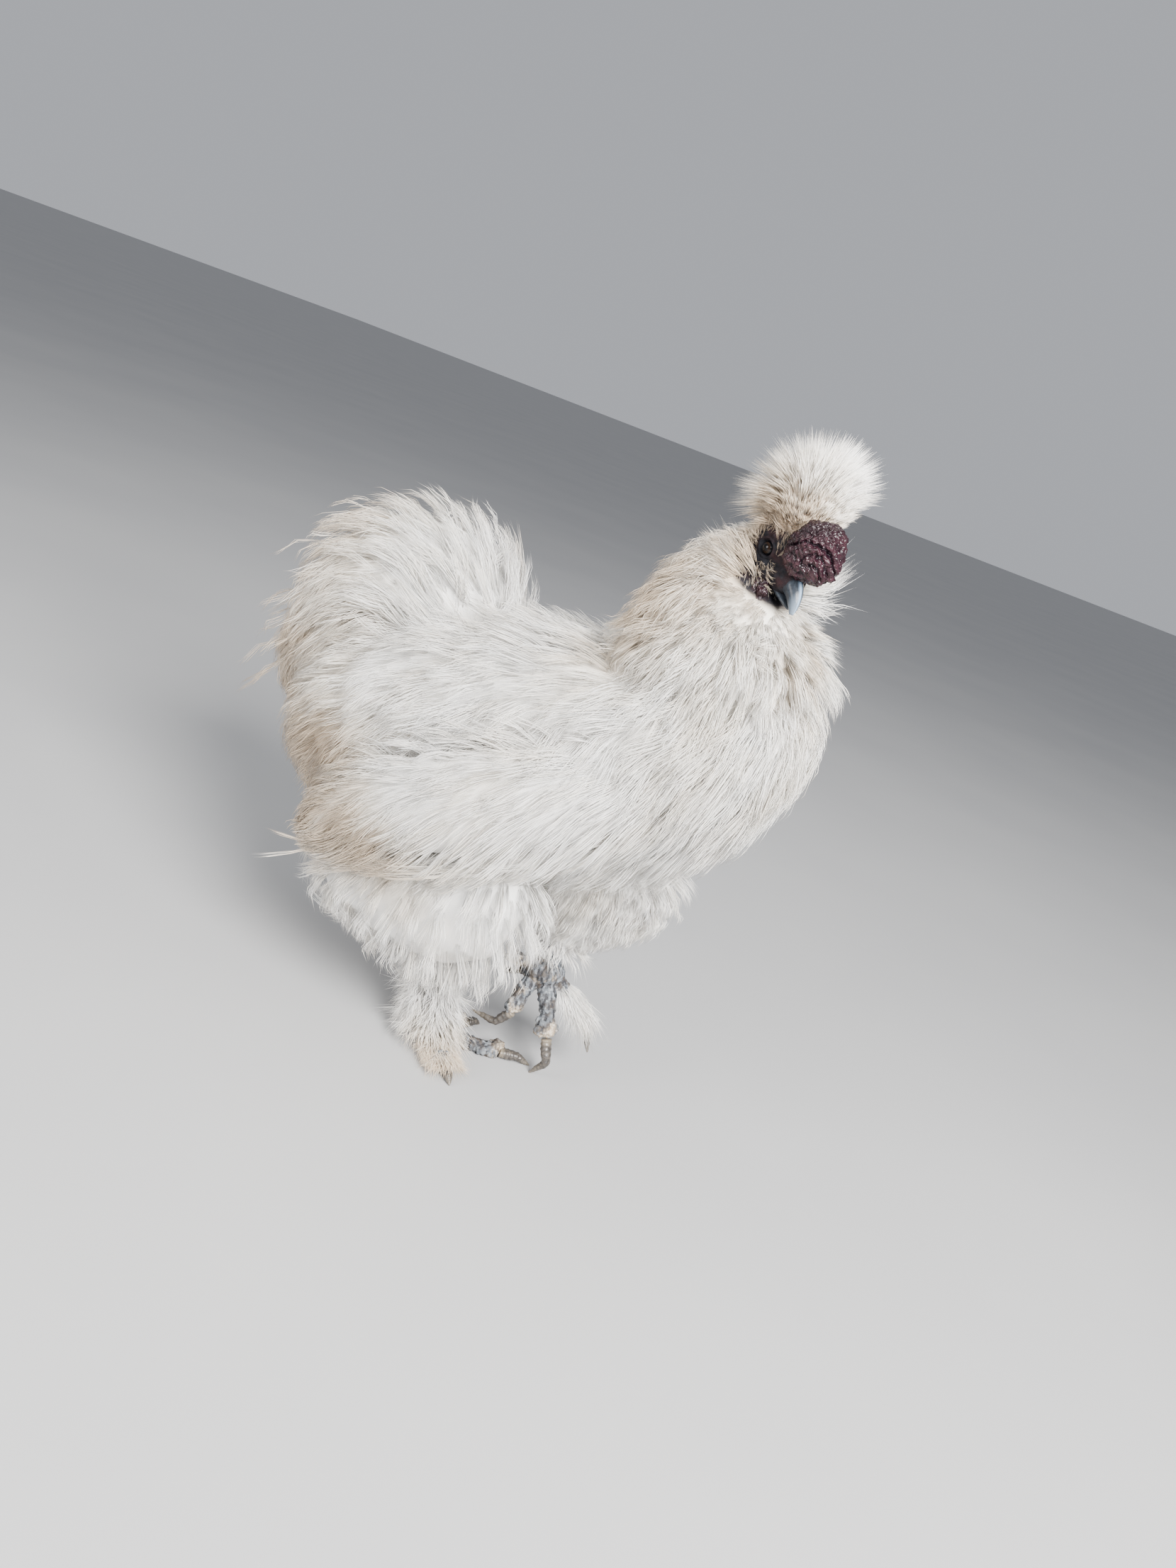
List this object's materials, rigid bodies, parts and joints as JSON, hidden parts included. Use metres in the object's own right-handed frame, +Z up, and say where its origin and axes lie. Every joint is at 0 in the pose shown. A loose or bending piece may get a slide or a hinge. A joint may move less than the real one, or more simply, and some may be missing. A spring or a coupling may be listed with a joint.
{
  "type": "silkie rooster model",
  "caption": "Life-size still model of a white bearded silkie rooster in mid step, with fluffy down, a mulberry walnut comb, a slate bill and long curved claws.",
  "frame": {"origin": "centre of the planted right foot's sole, on the floor", "axes": "+X towards the breast and the way the bird walks, +Y to the bird's left, +Z up"},
  "size_m": [0.4046, 0.2071, 0.4061],
  "materials": {
    "down": "soft, matte white down",
    "stained_down": "soft, matte cream down",
    "comb_skin": "damp-looking mulberry skin",
    "face_skin": "matte blue-black skin",
    "bill_horn": "polished slate horn",
    "claw_horn": "brown-grey horn",
    "foot_scale": "dry slate and cream scales",
    "eye": "glossy black"
  },
  "bodies": {
    "root": {"torso": "down", "neck": "down", "beard": "down", "crest": "down", "tail": "stained_down", "wing_right": "stained_down", "wing_left": "stained_down", "thigh_right": "down", "thigh_left": "down", "shank_right": "stained_down", "foot_right": "foot_scale", "claw_right_middle": "claw_horn", "claw_right_inner": "claw_horn", "claw_right_outer": "claw_horn", "claw_right_hind": "claw_horn", "claw_right_fifth": "claw_horn", "shank_left": "stained_down", "foot_left": "foot_scale", "claw_left_middle": "claw_horn", "claw_left_inner": "claw_horn", "claw_left_outer": "claw_horn", "claw_left_hind": "claw_horn", "claw_left_fifth": "claw_horn", "head": "face_skin", "bill_upper": "bill_horn", "bill_lower": "bill_horn", "comb": "comb_skin", "wattle_right": "comb_skin", "eye_right": "eye", "wattle_left": "comb_skin", "eye_left": "eye"}
  },
  "joints": []
}
